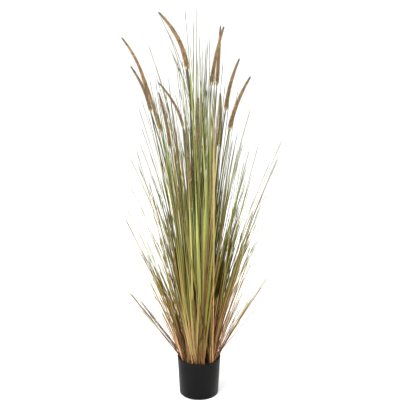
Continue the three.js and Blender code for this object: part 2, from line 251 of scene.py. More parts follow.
def walk_down(tip, sides):
    """The middles of the rings of points under a tip, from the tip down."""
    middles = [tip.co.copy()]
    passed = {tip}
    ring = [tip]
    while True:
        near = {edge.other_vert(point) for point in ring for edge in point.link_edges} - passed
        if len(near) != sides:
            return middles
        ring = sorted(near, key=lambda point: point.index)
        passed |= near
        middles.append(sum((point.co for point in ring), Vector()) / sides)


class Line:
    """A smooth curve through a few places, straight on past its ends. A share of its length gives a place on it."""

    def __init__(self, places):
        self.places = np.array(places, float)
        steps = np.linalg.norm(np.diff(self.places, axis=0), axis=1)
        self.length = steps.sum()
        self.shares = np.concatenate([[0], np.cumsum(steps)]) / self.length
        self.slopes = np.gradient(self.places, self.shares, axis=0, edge_order=2)

    def at(self, any_share):
        any_share = np.asarray(any_share, float)
        share = np.clip(any_share, 0, 1)
        past = (any_share - share)[:, None]
        last = len(self.shares) - 2
        start = np.clip(np.searchsorted(self.shares, share, side="right") - 1, 0, last)
        span = self.shares[start + 1] - self.shares[start]
        part = ((share - self.shares[start]) / span)[:, None]
        span = span[:, None]
        places = (2 * part**3 - 3 * part**2 + 1) * self.places[start]
        places += (part**3 - 2 * part**2 + part) * span * self.slopes[start]
        places += (3 * part**2 - 2 * part**3) * self.places[start + 1]
        places += (part**3 - part**2) * span * self.slopes[start + 1]
        return places + past * np.where(past < 0, self.slopes[0], self.slopes[-1])

    def direction(self, share):
        reach = 0.01
        middle = np.clip(share, reach, 1 - reach)
        return unit(self.at(middle + reach) - self.at(middle - reach))


def unit(vectors):
    return vectors / np.linalg.norm(vectors, axis=-1, keepdims=True)


# Shapes are modelled straight, then copied and bent along lines.

@dataclass
class Shape:
    """Points and faces, with one value for each point under each mark."""

    points: np.ndarray
    faces: list
    marks: dict = field(default_factory=dict)
    material: int = 0


def shape_of(modelled):
    """Takes the points and faces of a modelled object, and removes the object."""
    mesh = modelled.data
    points = np.array([point.co for point in mesh.vertices])
    faces = [tuple(face.vertices) for face in mesh.polygons]
    bpy.data.objects.remove(modelled)
    bpy.data.meshes.remove(mesh)
    return Shape(points, faces)


def bent(shape, line, width, facing, twist=0.0, marks=None):
    """A copy of a straight shape along a line. Its X and Y are in widths, and its Z is a share of the line."""
    across, depth, share = shape.points.T
    along = line.direction(share)
    side = unit(np.cross(facing, along))
    front = np.cross(along, side)
    turn = (twist * share)[:, None]
    turned_side = np.cos(turn) * side + np.sin(turn) * front
    turned_front = np.cos(turn) * front - np.sin(turn) * side
    points = line.at(share)
    points += turned_side * (across * width)[:, None]
    points += turned_front * (depth * width)[:, None]
    return Shape(points, shape.faces, {**shape.marks, **(marks or {})}, shape.material)


def one_shape(shapes):
    """Several shapes as one, with a mark that a shape lacks taken as nothing."""
    starts = np.cumsum([0] + [len(shape.points) for shape in shapes])
    names = sorted({name for shape in shapes for name in shape.marks})
    faces = []
    for start, shape in zip(starts, shapes):
        faces += [tuple(int(start) + corner for corner in face) for face in shape.faces]
    marks = {}
    for name in names:
        parts = [np.broadcast_to(shape.marks.get(name, 0.0), len(shape.points)) for shape in shapes]
        marks[name] = np.concatenate(parts)
    return Shape(np.concatenate([shape.points for shape in shapes]), faces, marks)


def piece_from(name, shapes, materials):
    """One object from many shapes, with their marks as attributes of its points."""
    whole = one_shape(shapes)
    mesh = bpy.data.meshes.new(name)
    mesh.from_pydata(whole.points.tolist(), [], whole.faces)
    for mark, values in whole.marks.items():
        attribute = mesh.attributes.new(mark, "FLOAT", "POINT")
        attribute.data.foreach_set("value", np.ascontiguousarray(values, np.float32))
    numbers = [shape.material for shape in shapes for _ in shape.faces]
    mesh.polygons.foreach_set("material_index", numbers)
    for material in materials:
        mesh.materials.append(material)
    mesh.update()
    piece = bpy.data.objects.new(name, mesh)
    bpy.context.collection.objects.link(piece)
    return piece


def finish_piece(piece, node_name, smooth_degrees):
    bpy.ops.object.select_all(action="DESELECT")
    piece.select_set(True)
    bpy.context.view_layer.objects.active = piece
    bpy.ops.object.shade_smooth_by_angle(angle=math.radians(smooth_degrees))
    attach(piece, "root")
    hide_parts(node_name)


# Modelling by hand, in code: a primitive is added, then picked and shaped in edit mode.

def add_start(primitive, name, **sizes):
    """Adds a primitive with its place in its mesh, and opens it for editing."""
    bpy.ops.object.select_all(action="DESELECT")
    primitive(**sizes)
    bpy.ops.object.transform_apply(location=True, rotation=True, scale=True)
    started = bpy.context.object
    started.name = name
    started.data.name = name
    bpy.ops.object.mode_set(mode="EDIT")
    return started


def end_editing():
    bpy.ops.object.mode_set(mode="OBJECT")
    return bpy.context.object


def pick(kind, test):
    """Selects the points, edges or faces that pass a test, and nothing else."""
    bpy.ops.mesh.select_mode(type={"verts": "VERT", "edges": "EDGE", "faces": "FACE"}[kind])
    bpy.ops.mesh.select_all(action="DESELECT")
    editing = bmesh.from_edit_mesh(bpy.context.object.data)
    for element in getattr(editing, kind):
        if test(element):
            element.select_set(True)
    editing.select_flush_mode()
    bmesh.update_edit_mesh(bpy.context.object.data)


def pick_ring(height, slack=JOIN_DISTANCE):
    pick("verts", lambda point: abs(point.co.z - height) < slack)


def cut_level(heights):
    """Cuts the whole mesh level at each height."""
    for height in heights:
        bpy.ops.mesh.select_all(action="SELECT")
        bpy.ops.mesh.bisect(plane_co=(0, 0, height), plane_no=(0, 0, 1))


def size_ring(height, share, slack=JOIN_DISTANCE):
    pick_ring(height, slack)
    bpy.ops.transform.resize(value=(share, share, 1), center_override=(0, 0, height))


def straight_blade():
    """One blade, upright: a length of 1 and a width of 1, folded along its middle and drawn to a point."""
    add_start(
        bpy.ops.mesh.primitive_cylinder_add, "blade",
        vertices=4, radius=0.5, depth=1, location=(0, 0, 0.5),
    )
    cut_level(BLADE_SHARES[1:-1])
    bpy.ops.mesh.select_all(action="SELECT")
    bpy.ops.transform.resize(value=(1, BLADE_THINNESS, 1), center_override=(0, 0, 0))
    for share in BLADE_SHARES[:-1]:
        pick("verts", lambda point: abs(point.co.x) + abs(point.co.z - share) < JOIN_DISTANCE)
        bpy.ops.transform.translate(value=(0, mixed(*BLADE_FOLD, share**2), 0))
    for share, fullness in zip(BLADE_SHARES[:-1], BLADE_FULLNESS):
        size_ring(share, fullness)
    pick_ring(1)
    bpy.ops.mesh.merge(type="CENTER")
    blade = shape_of(end_editing())
    blade.points[blade.points[:, 2] == 1, :2] = 0
    across = np.sign(np.round(blade.points[:, 0], 6))
    blade.marks = {"across": across, "share": blade.points[:, 2]}
    return blade


def straight_stem():
    """One stem, upright: a length of 1 and a width of 1, with a raised ring at each of its joints."""
    add_start(
        bpy.ops.mesh.primitive_cylinder_add, "stem",
        vertices=STEM_SIDES, radius=0.5, depth=1, location=(0, 0, 0.5),
    )
    cut_level([ring / STEM_RINGS for ring in range(1, STEM_RINGS)])
    reach = STEM_JOINT_LENGTH / 2
    for joint in STEM_JOINTS:
        cut_level([joint - 2 * reach, joint - reach, joint + reach])
        for height in (joint - reach, joint + reach):
            size_ring(height, STEM_JOINT_SWELL)
    size_ring(1, STEM_TOP_SHARE)
    stem = shape_of(end_editing())
    stem.marks = {"share": stem.points[:, 2]}
    return stem


def tuft_collar():
    """The collar of a tuft, standing on the origin: flared at its foot, with a hollow mouth."""
    add_start(
        bpy.ops.mesh.primitive_cylinder_add, "collar",
        vertices=COLLAR_SIDES, radius=COLLAR_RADIUS, depth=COLLAR_HEIGHT, location=(0, 0, COLLAR_HEIGHT / 2),
    )
    size_ring(COLLAR_HEIGHT, COLLAR_MOUTH)
    pick("edges", lambda edge: all(point.co.z > COLLAR_HEIGHT - JOIN_DISTANCE for point in edge.verts))
    bpy.ops.mesh.bevel(offset=COLLAR_EDGE, segments=2)
    pick("faces", lambda face: face.normal.z > 0.99)
    bpy.ops.mesh.inset(thickness=COLLAR_WALL)
    bpy.ops.mesh.extrude_region_move(TRANSFORM_OT_translate={"value": (0, 0, -COLLAR_HEIGHT / 3)})
    collar = shape_of(end_editing())
    collar.material = 1
    return collar


def tapered_sliver(name, sides, swell_share, swell):
    """A closed sliver, a length of 1 and a width of 1, pointed at its top and narrow at its foot."""
    add_start(
        bpy.ops.mesh.primitive_cone_add, name,
        vertices=sides, radius1=0.5, radius2=0, depth=1, location=(0, 0, 0.5),
    )
    if swell_share:
        cut_level([swell_share])
        size_ring(swell_share, swell)
        size_ring(0, 0.4)
    return shape_of(end_editing())


def spike_core():
    add_start(
        bpy.ops.mesh.primitive_cylinder_add, "core",
        vertices=SPIKE_CORE_SIDES, radius=SPIKE_CORE_SHARE / 2, depth=1, location=(0, 0, 0.5),
    )
    cut_level(SPIKE_SHARES[1:-1])
    for share, fullness in zip(SPIKE_SHARES, SPIKE_FULLNESS):
        size_ring(share, fullness)
    core = shape_of(end_editing())
    core.marks = {"share": core.points[:, 2], "tone": 0.0}
    return core


def leaning_copy(sliver, share, around, length, width, lean):
    """A sliver set on the core of the straight spike, leaning out from it, in the spike's own widths and length."""
    fullness = np.interp(share, SPIKE_SHARES, SPIKE_FULLNESS)
    room = fullness * 0.5
    foot = 0.5 * SPIKE_CORE_SHARE * room
    out = np.array([math.cos(around), math.sin(around)])
    side = np.array([out[1], -out[0]])
    across, depth, along = sliver.points.T
    outward = foot + along * (room * lean - foot) + depth * width / SPIKE_TYPICAL_WIDTH
    sideways = across * width / SPIKE_TYPICAL_WIDTH
    level = outward[:, None] * out + sideways[:, None] * side
    height = share + along * length / SPIKE_LENGTH
    faces = sliver.faces if length > 0 else [face[::-1] for face in sliver.faces]
    return Shape(np.column_stack([level, height]), faces)


def straight_spike():
    """One flower spike, upright: a length of 1 and a width of 1."""
    dice = random.Random("spike")
    spikelet = tapered_sliver("spikelet", 4, 0.35, 1.4)
    bristle = tapered_sliver("bristle", 3, 0, 1)
    parts = [spike_core()]
    for number in range(SPIKELETS):
        share = mixed(SPIKE_FOOT_SHARE, SPIKE_TOP_SHARE, number / SPIKELETS)
        length = SPIKELET_LENGTH * mixed(1.0, 0.7, share) * dice.uniform(0.85, 1.1)
        width = SPIKELET_WIDTH * mixed(1, 0.6, share)
        copy = leaning_copy(spikelet, share, number * GOLDEN_TURN, length, width, dice.uniform(0.9, 1.1))
        copy.marks = {"share": np.full(len(copy.points), share), "tone": dice.uniform(-0.15, 1.0)}
        parts.append(copy)
    for number in range(BRISTLES):
        share = dice.uniform(0, 0.955)
        length = dice.uniform(*BRISTLE_LENGTH) * mixed(1, 0.75, share)
        around = dice.uniform(0, FULL_TURN)
        copy = leaning_copy(bristle, share, around, length, BRISTLE_WIDTH, dice.uniform(1.0, 1.5))
        copy.marks = {"share": np.full(len(copy.points), share), "tone": dice.uniform(0.5, 1.2)}
        parts.append(copy)
    for _ in range(NECK_BRISTLES):
        length = -dice.uniform(*NECK_BRISTLE_LENGTH)
        around = dice.uniform(0, FULL_TURN)
        copy = leaning_copy(bristle, 0, around, length, BRISTLE_WIDTH, dice.uniform(0.4, 0.8))
        copy.marks = {"share": np.zeros(len(copy.points)), "tone": dice.uniform(0.3, 0.7)}
        parts.append(copy)
    return one_shape(parts)


# Materials are node trees, each made by its own function.

MIX_A = 6
MIX_B = 7
MIX_COLOUR = 2


def new_material(name):
    material = bpy.data.materials.new(name)
    material.use_nodes = True
    material.node_tree.nodes.clear()
    return material


def add_node(owner, kind, settings=None, inputs=None, stops=None):
    """Adds a node. Its inputs are values or the outputs that feed them, and stops are a ramp's colours."""
    tree = owner.node_tree
    made = tree.nodes.new("ShaderNode" + kind)
    for name, value in (settings or {}).items():
        setattr(made, name, value)
    for name, value in (inputs or {}).items():
        if isinstance(value, bpy.types.NodeSocket):
            tree.links.new(value, made.inputs[name])
        else:
            made.inputs[name].default_value = value
    if stops:
        ramp = made.color_ramp
        while len(ramp.elements) < len(stops):
            ramp.elements.new(0.5)
        for element, (place, colour) in zip(ramp.elements, stops):
            element.position = place
            element.color = srgb(colour)
    return made


def finish_material(material, shader):
    add_node(material, "OutputMaterial", inputs={"Surface": shader.outputs[0]})
    return material


def per_metre(millimetres):
    """The scale of a texture whose pattern repeats at this many millimetres."""
    return 1 / (millimetres * MM)


def printed_film():
    """PVC film printed green, straw or brown: satin, and paler along the fold, partly a paler midrib and partly a
    painted highlight.
    """
    film = new_material("printed_pvc_film")
    growth = add_node(film, "Attribute", {"attribute_name": "growth"})
    tone = add_node(film, "Attribute", {"attribute_name": "tone"})
    dryness = add_node(film, "Attribute", {"attribute_name": "dryness"})
    across = add_node(film, "Attribute", {"attribute_name": "across"})
    place = add_node(film, "TexCoord")
    lengthwise = add_node(film, "Mapping", inputs={0: place.outputs["Object"], "Scale": (1, 1, 0.08)})
    streaks = add_node(
        film, "TexNoise", inputs={"Vector": lengthwise.outputs[0], "Scale": per_metre(4), "Detail": 3.0},
    )
    shifted = add_node(film, "Math", {"operation": "MULTIPLY_ADD"}, {0: streaks.outputs[0], 1: 0.4, 2: -0.2})
    ripened = add_node(film, "Math", {"operation": "ADD"}, {0: growth.outputs["Fac"], 1: shifted.outputs[0]})
    green = add_node(film, "ValToRGB", inputs={0: ripened.outputs[0]}, stops=[
        (0, "#9d8955"), (0.12, "#978a4d"), (0.28, "#8d8d45"), (0.6, "#888f47"), (0.78, "#7c8749"), (0.93, "#505b3f"),
        (1, "#31372c"),
    ])
    straw = add_node(film, "ValToRGB", inputs={0: ripened.outputs[0]}, stops=[
        (0, "#ad7451"), (0.15, "#b27c54"), (0.38, "#a77b49"), (0.65, "#977e4c"), (0.78, "#87794e"), (0.92, "#5f5845"),
        (1, "#3c3932"),
    ])
    brown = add_node(film, "ValToRGB", inputs={0: ripened.outputs[0]}, stops=[
        (0, "#632f15"), (0.2, "#7a4320"), (0.42, "#74501f"), (0.7, "#6e5a28"), (0.88, "#4f4830"), (1, "#33322b"),
    ])
    straw_share = add_node(film, "MapRange", inputs={0: dryness.outputs["Fac"], 1: 0.0, 2: 0.5})
    brown_share = add_node(film, "MapRange", inputs={0: dryness.outputs["Fac"], 1: 0.5, 2: 1.0})
    turning = add_node(film, "Mix", {"data_type": "RGBA"}, {
        0: straw_share.outputs[0], MIX_A: green.outputs[0], MIX_B: straw.outputs[0],
    })
    aged = add_node(film, "Mix", {"data_type": "RGBA"}, {
        0: brown_share.outputs[0], MIX_A: turning.outputs[MIX_COLOUR], MIX_B: brown.outputs[0],
    })
    # The tone mark holds the printed tone with painted shade and painted light in it. Lower tones are darker and more
    # saturated, like shaded film, and higher ones lighter and greyer.
    strength = add_node(film, "MapRange", {"interpolation_type": "SMOOTHSTEP"}, {
        0: tone.outputs["Fac"], 1: -0.17, 2: 0.97, 3: 0.06, 4: 1.32,
    })
    saturation_by_tone = add_node(film, "MapRange", inputs={0: tone.outputs["Fac"], 3: 1.25, 4: 0.84})
    toned = add_node(film, "HueSaturation", inputs={
        "Color": aged.outputs[MIX_COLOUR], "Value": strength.outputs[0], "Saturation": saturation_by_tone.outputs[0],
    })
    # Paler towards a pale straw along the fold: partly the blade's paler midrib, partly a painted highlight.
    rib = add_node(film, "Math", {"operation": "ABSOLUTE"}, {0: across.outputs["Fac"]})
    midrib_and_highlight_share = add_node(film, "MapRange", inputs={0: rib.outputs[0], 1: 0.0, 2: 0.3, 3: 0.25, 4: 0.0})
    midrib_and_painted_highlight = add_node(film, "Mix", {"data_type": "RGBA"}, {
        0: midrib_and_highlight_share.outputs[0], MIX_A: toned.outputs[0], MIX_B: srgb("#b5b27c"),
    })
    veins = add_node(film, "Math", {"operation": "MULTIPLY"}, {0: across.outputs["Fac"], 1: 5 * math.pi})
    vein_wave = add_node(film, "Math", {"operation": "COSINE"}, {0: veins.outputs[0]})
    bump = add_node(film, "Bump", inputs={"Strength": 0.25, "Distance": 0.2 * MM, "Height": vein_wave.outputs[0]})
    roughness = add_node(film, "MapRange", inputs={0: streaks.outputs[0], 3: 0.4, 4: 0.6})
    shader = add_node(film, "BsdfPrincipled", inputs={
        "Base Color": midrib_and_painted_highlight.outputs[MIX_COLOUR], "Roughness": roughness.outputs[0],
        "IOR": 1.53, "Specular IOR Level": 0.18, "Normal": bump.outputs[0],
    })
    return finish_material(film, shader)


def collar_plastic():
    """Moulded polyethylene in a dull olive: waxy, and scuffed where the blades are pushed in."""
    plastic = new_material("moulded_polyethylene")
    place = add_node(plastic, "TexCoord")
    scuffs = add_node(plastic, "TexNoise", inputs={"Vector": place.outputs["Object"], "Scale": per_metre(2), "Detail": 4.0})
    colour = add_node(plastic, "ValToRGB", inputs={0: scuffs.outputs[0]}, stops=[
        (0.3, "#2e2a18"), (0.6, "#3f3a22"), (0.75, "#574e30"),
    ])
    bump = add_node(plastic, "Bump", inputs={"Strength": 0.3, "Distance": 0.2 * MM, "Height": scuffs.outputs[0]})
    shader = add_node(plastic, "BsdfPrincipled", inputs={
        "Base Color": colour.outputs[0], "Roughness": 0.5, "IOR": 1.51, "Normal": bump.outputs[0],
    })
    return finish_material(plastic, shader)


def coated_wire():
    """Steel wire dipped in green PVC: even and dull, a little yellower and paler towards the flower."""
    coating = new_material("pvc_coated_wire")
    share = add_node(coating, "Attribute", {"attribute_name": "share"})
    place = add_node(coating, "TexCoord")
    drips = add_node(coating, "Mapping", inputs={0: place.outputs["Object"], "Scale": (1, 1, 0.2)})
    runs = add_node(coating, "TexNoise", inputs={"Vector": drips.outputs[0], "Scale": per_metre(4), "Detail": 2.0})
    colour = add_node(coating, "ValToRGB", inputs={0: share.outputs["Fac"]}, stops=[
        (0, "#5a4f2c"), (0.4, "#4a4c2a"), (0.8, "#363d25"), (1, "#2c3221"),
    ])
    value = add_node(coating, "MapRange", inputs={0: runs.outputs[0], 3: 0.75, 4: 1.25})
    toned = add_node(coating, "HueSaturation", inputs={"Color": colour.outputs[0], "Value": value.outputs[0]})
    bump = add_node(coating, "Bump", inputs={"Strength": 0.3, "Distance": 0.2 * MM, "Height": runs.outputs[0]})
    shader = add_node(coating, "BsdfPrincipled", inputs={
        "Base Color": toned.outputs[0], "Roughness": 0.48, "IOR": 1.53, "Normal": bump.outputs[0],
    })
    return finish_material(coating, shader)


def spun_bristle():
    """Dyed polyester bristle: matt and soft, tan with paler ends, and grey green at the spike's tip."""
    fibre = new_material("dyed_polyester_bristle")
    share = add_node(fibre, "Attribute", {"attribute_name": "share"})
    tone = add_node(fibre, "Attribute", {"attribute_name": "tone"})
    greenness = add_node(fibre, "Attribute", {"attribute_name": "greenness"})
    darkness = add_node(fibre, "Attribute", {"attribute_name": "darkness"})
    place = add_node(fibre, "TexCoord")
    patches = add_node(
        fibre, "TexNoise", inputs={"Vector": place.outputs["Object"], "Scale": per_metre(8), "Detail": 1.0},
    )
    tan = add_node(fibre, "ValToRGB", inputs={0: share.outputs["Fac"]}, stops=[
        (0, "#b39d76"), (0.03, "#7a5c31"), (0.4, "#886a42"), (0.8, "#8a6f4c"), (0.9, "#62563a"), (1, "#3c4032"),
    ])
    olive = add_node(fibre, "ValToRGB", inputs={0: share.outputs["Fac"]}, stops=[
        (0, "#94764a"), (0.25, "#7c6a3a"), (0.6, "#655d32"), (1, "#474a30"),
    ])
    dyed = add_node(fibre, "Mix", {"data_type": "RGBA"}, {
        0: greenness.outputs["Fac"], MIX_A: tan.outputs[0], MIX_B: olive.outputs[0],
    })
    summed = add_node(fibre, "Math", {"operation": "ADD"}, {0: tone.outputs["Fac"], 1: patches.outputs[0]})
    light = add_node(fibre, "Math", {"operation": "MULTIPLY_ADD"}, {0: darkness.outputs["Fac"], 1: -0.6, 2: 0.0})
    worn = add_node(fibre, "Math", {"operation": "ADD"}, {0: summed.outputs[0], 1: light.outputs[0]})
    value = add_node(fibre, "MapRange", inputs={0: worn.outputs[0], 1: 0.35, 2: 1.4, 3: 0.3, 4: 1.7})
    toned = add_node(fibre, "HueSaturation", inputs={"Color": dyed.outputs[MIX_COLOUR], "Value": value.outputs[0]})
    shader = add_node(fibre, "BsdfPrincipled", inputs={
        "Base Color": toned.outputs[0], "Roughness": 0.85, "Sheen Weight": 0.3, "Sheen Roughness": 0.5,
    })
    return finish_material(fibre, shader)


def moulded_polypropylene():
    """Black polypropylene from a polished mould: satin, with a fine orange peel and a soft edge to its shine."""
    plastic = new_material("black_polypropylene")
    place = add_node(plastic, "TexCoord")
    peel = add_node(plastic, "TexNoise", inputs={"Vector": place.outputs["Object"], "Scale": per_metre(3), "Detail": 2.0})
    drawn = add_node(plastic, "Mapping", inputs={0: place.outputs["Object"], "Scale": (1, 1, 0.06)})
    rubs = add_node(plastic, "TexNoise", inputs={"Vector": drawn.outputs[0], "Scale": per_metre(9), "Detail": 4.0})
    colour = add_node(plastic, "ValToRGB", inputs={0: rubs.outputs[0]}, stops=[(0.3, "#070708"), (0.7, "#0b0b0c")])
    roughness = add_node(plastic, "MapRange", inputs={0: rubs.outputs[0], 1: 0.3, 2: 0.7, 3: 0.36, 4: 0.46})
    bump = add_node(plastic, "Bump", inputs={"Strength": 0.12, "Distance": 0.1 * MM, "Height": peel.outputs[0]})
    shader = add_node(plastic, "BsdfPrincipled", inputs={
        "Base Color": colour.outputs[0], "Roughness": roughness.outputs[0], "IOR": 1.49, "Normal": bump.outputs[0],
        "Specular IOR Level": 0.1,
    })
    return finish_material(plastic, shader)


def cast_cement():
    """Dark dyed cement, poured and left to set: dull, gritty and a little blotched where it dried unevenly."""
    cement = new_material("dyed_cement")
    place = add_node(cement, "TexCoord")
    grit = add_node(cement, "TexVoronoi", inputs={"Vector": place.outputs["Object"], "Scale": per_metre(1.5)})
    blotches = add_node(cement, "TexNoise", inputs={"Vector": place.outputs["Object"], "Scale": per_metre(20), "Detail": 5.0})
    colour = add_node(cement, "ValToRGB", inputs={0: blotches.outputs[0]}, stops=[
        (0.3, "#1a140f"), (0.55, "#2b2118"), (0.75, "#3d3024"),
    ])
    bump = add_node(cement, "Bump", inputs={"Strength": 0.6, "Distance": 0.4 * MM, "Height": grit.outputs[0]})
    shader = add_node(cement, "BsdfPrincipled", inputs={
        "Base Color": colour.outputs[0], "Roughness": 0.95, "Normal": bump.outputs[0],
    })
    return finish_material(cement, shader)


def pale_paint():
    """Plain pale backdrop paint: matt, with the faintest roller texture."""
    paint = new_material("backdrop_paint")
    place = add_node(paint, "TexCoord")
    roller = add_node(paint, "TexNoise", inputs={"Vector": place.outputs["Object"], "Scale": per_metre(4)})
    bump = add_node(paint, "Bump", inputs={"Strength": 0.02, "Distance": 0.1 * MM, "Height": roller.outputs[0]})
    shader = add_node(paint, "BsdfPrincipled", inputs={
        "Base Color": srgb("#fcfcfb"), "Roughness": 0.9, "Specular IOR Level": 0.1, "Normal": bump.outputs[0],
    })
    return finish_material(paint, shader)


# The pot and its fill.

def pot_radius(height):
    return mixed(POT_BASE_RADIUS, POT_RADIUS, height / POT_HEIGHT)


def make_pot(plastic):
    pot = add_start(
        bpy.ops.mesh.primitive_cylinder_add, "garden_pot",
        vertices=POT_SIDES, radius=POT_RADIUS, depth=POT_HEIGHT, location=(0, 0, POT_HEIGHT / 2),
    )
    size_ring(0, POT_BASE_RADIUS / POT_RADIUS)
    pick("faces", lambda face: face.normal.z > 0.9)
    bpy.ops.mesh.inset(thickness=POT_WALL)
    bpy.ops.mesh.extrude_region_move(TRANSFORM_OT_translate={"value": (0, 0, POT_FLOOR - POT_HEIGHT)})
    inner_base = (pot_radius(POT_FLOOR) - POT_WALL) / (POT_RADIUS - POT_WALL)
    bpy.ops.transform.resize(value=(inner_base, inner_base, 1), center_override=(0, 0, POT_FLOOR))
    pick("edges", lambda edge: all(abs(point.co.z - POT_HEIGHT) < JOIN_DISTANCE for point in edge.verts)
         and abs(edge.verts[0].co.xy.length - edge.verts[1].co.xy.length) < JOIN_DISTANCE)
    bpy.ops.mesh.bevel(offset=POT_RIM_EDGE, segments=3)
    pick("edges", lambda edge: all(abs(point.co.z) < JOIN_DISTANCE for point in edge.verts))
    bpy.ops.mesh.bevel(offset=POT_EDGE, segments=8)
    pick("faces", lambda face: face.normal.z < -0.99 and face.calc_center_median().z < JOIN_DISTANCE)
    bpy.ops.mesh.inset(thickness=POT_FOOT_RING)
    bpy.ops.mesh.inset(thickness=POT_FOOT_RISE)
    bpy.ops.transform.translate(value=(0, 0, POT_FOOT_RISE))
    end_editing()
    pot.data.materials.append(plastic)
    finish_piece(pot, "pot", 30)


def make_fill(cement, feet):
    """Cast fill: a disc whose top is lumpy and stands up a little round each foot that is set in it."""
    radius = pot_radius(FILL_HIGH.z) - POT_WALL - FILL_GAP
    depth = FILL_HIGH.z - FILL_LOW.z
    fill = add_start(
        bpy.ops.mesh.primitive_cylinder_add, "cast_fill",
        vertices=FILL_SIDES, radius=radius, depth=depth, location=(0, 0, FILL_LOW.z + depth / 2),
    )
    size_ring(FILL_LOW.z, (pot_radius(FILL_LOW.z) - POT_WALL - FILL_GAP) / radius)
    pick("faces", lambda face: face.normal.z > 0.9)
    step = radius / (FILL_RINGS + 1)
    for _ in range(FILL_RINGS):
        bpy.ops.mesh.inset(thickness=step)
    bpy.ops.mesh.poke()
    end_editing()
    feet_level = np.array([foot[:2] for foot in feet])
    for point in fill.data.vertices:
        if point.co.z < FILL_HIGH.z - JOIN_DISTANCE:
            continue
        edge_share = min(1, (radius - point.co.xy.length) / step)
        lump = noise.noise(point.co / FILL_LUMP) * FILL_LUMP_HEIGHT
        nearest = np.linalg.norm(feet_level - np.array(point.co.xy), axis=1).min()
        mound = max(0, 1 - nearest / FILL_MOUND) ** 2 * FILL_MOUND_HEIGHT
        point.co.z += (lump + mound) * edge_share
    fill.data.materials.append(cement)
    finish_piece(fill, "fill", 60)


# Flowers.

def flower_lines(number):
    """The lines of a spike and of its stem, each from its foot up."""
    spike = joined_copy(f"flower_spike_{number:02d}")
    ends = [point for point in spike.verts if len(point.link_edges) == SOLID_SPIKE_SIDES]
    tip = max(ends, key=lambda point: point.co.z)
    spike_places = walk_down(tip, SOLID_SPIKE_SIDES)[::-1]
    stem = joined_copy(f"flower_stem_{number:02d}")
    neck = min(stem.verts, key=lambda point: (point.co - spike_places[0]).length)
    stem_places = walk_down(neck, SOLID_STEM_SIDES)[:0:-1]
    spike.free()
    stem.free()
    return Line(spike_places), Line(stem_places)


def make_flower(number, stem_shape, spike_shape, wire, bristle):
    dice = random.Random(f"flower {number}")
    spike_line, stem_line = flower_lines(number)
    width, greenness, darkness = SPIKE_LOOKS[number - 1]
    level = np.array([math.cos(number), math.sin(number), 0])
    stem = piece_from(f"stem_{number:02d}", [bent(stem_shape, stem_line, 2 * STEM_RADIUS, level)], [wire])
    finish_piece(stem, f"flower_stem_{number:02d}", 50)
    marks = {"greenness": greenness, "darkness": darkness}
    turned = bent(spike_shape, spike_line, width * MM, level, dice.uniform(-0.6, 0.6), marks)
    spike = piece_from(f"spike_{number:02d}", [turned], [bristle])
    finish_piece(spike, f"flower_spike_{number:02d}", 40)
    return stem_line.places[0]


# Tufts.

def tuft_lines(node_name):
    """The foot of a tuft, and the lines of its leaders from the tallest to the shortest."""
    solid = joined_copy(node_name)
    lowest = min(point.co.z for point in solid.verts)
    peg = [point.co for point in solid.verts if point.co.z < lowest + JOIN_DISTANCE]
    foot = sum(peg, Vector()) / len(peg)
    foot.z = ROOT_HEIGHT
    clear = FILL_HIGH.z + 2 * COLLAR_HEIGHT
    tips = [point for point in solid.verts if len(point.link_edges) == SOLID_BLADE_SIDES and point.co.z > clear]
    tips.sort(key=lambda point: -point.co.z)
    lines = []
    for tip in tips:
        middles = [place for place in walk_down(tip, SOLID_BLADE_SIDES) if place.z > clear]
        lines.append(Line([foot, *middles[::-1]]))
    solid.free()
    return np.array(foot), lines


def nearness_to_tip(blade, line):
    """How near its tip each point of a blade's upper half is, at most 1, and less on a low blade."""
    most = mixed(*TIP_GROWTH, min(1, line.places[-1, 2] / TALL_TUFT))
    return most * np.clip(2 * blade.points[:, 2] - 1, 0, 1)


def growth_of(blade, line):
    """How grown each point is: the lower half of the scale is by height, the upper half by nearness to the tip."""
    height = line.at(blade.points[:, 2])[:, 2] - POT_HEIGHT
    return 0.5 * np.clip(height / TURN_HEIGHT, 0, 1) + 0.5 * nearness_to_tip(blade, line)


def tone_with_painted_light_and_shade(tone, blade, line):
    """A blade's tone at each point, with painted shade in the plant's heart and painted light where the plant is
    open. Its tip is printed dark.
    """
    places = line.at(blade.points[:, 2])
    openness = np.clip((places[:, 2] - POT_HEIGHT) / OPEN_HEIGHT, 0, 1)
    from_axis = np.hypot(places[:, 0], places[:, 1])
    depth = np.clip(1 - from_axis / mixed(*HEART_RADIUS, openness), 0, 1)
    lit = tone + OPEN_PAINTED_LIGHT * openness * (1 - tone) - HEART_PAINTED_SHADE * depth * (1 - openness)
    return mixed(lit, TIP_TONE, nearness_to_tip(blade, line) ** 2)


def drawn_out(blade, length):
    """The straight blade with its last stretch at its true length, for a blade of this length."""
    taper = min(TAPER_LENGTH / length, TAPER_MOST)
    points = blade.points.copy()
    points[:, 2] = np.interp(points[:, 2], [0, TAPER_SHARE, 1], [0, 1 - taper, 1])
    return Shape(points, blade.faces, blade.marks)


def blade_on(blade, line, dice, width, turn, dryness, tone):
    """One blade along a line, facing the way that it leans, more or less, and no thinner than a thread."""
    lean = line.places[-1] - line.places[0]
    around = math.atan2(lean[1], lean[0]) + dice.gauss(0, turn)
    facing = np.array([math.cos(around), math.sin(around), 0])
    drawn = drawn_out(blade, line.length)
    fullness = np.interp(blade.points[:, 2], BLADE_SHARES, BLADE_FULLNESS)
    widths = np.maximum(width, THREAD_WIDTH / np.maximum(fullness, 0.01))
    # The tone mark is the blade's printed tone with painted shade in the plant's heart and painted light where it
    # opens up.
    marks = {"growth": growth_of(drawn, line), "dryness": dryness, "tone": tone_with_painted_light_and_shade(tone, drawn, line)}
    return bent(drawn, line, widths, facing, dice.uniform(-BLADE_TWIST, BLADE_TWIST), marks)


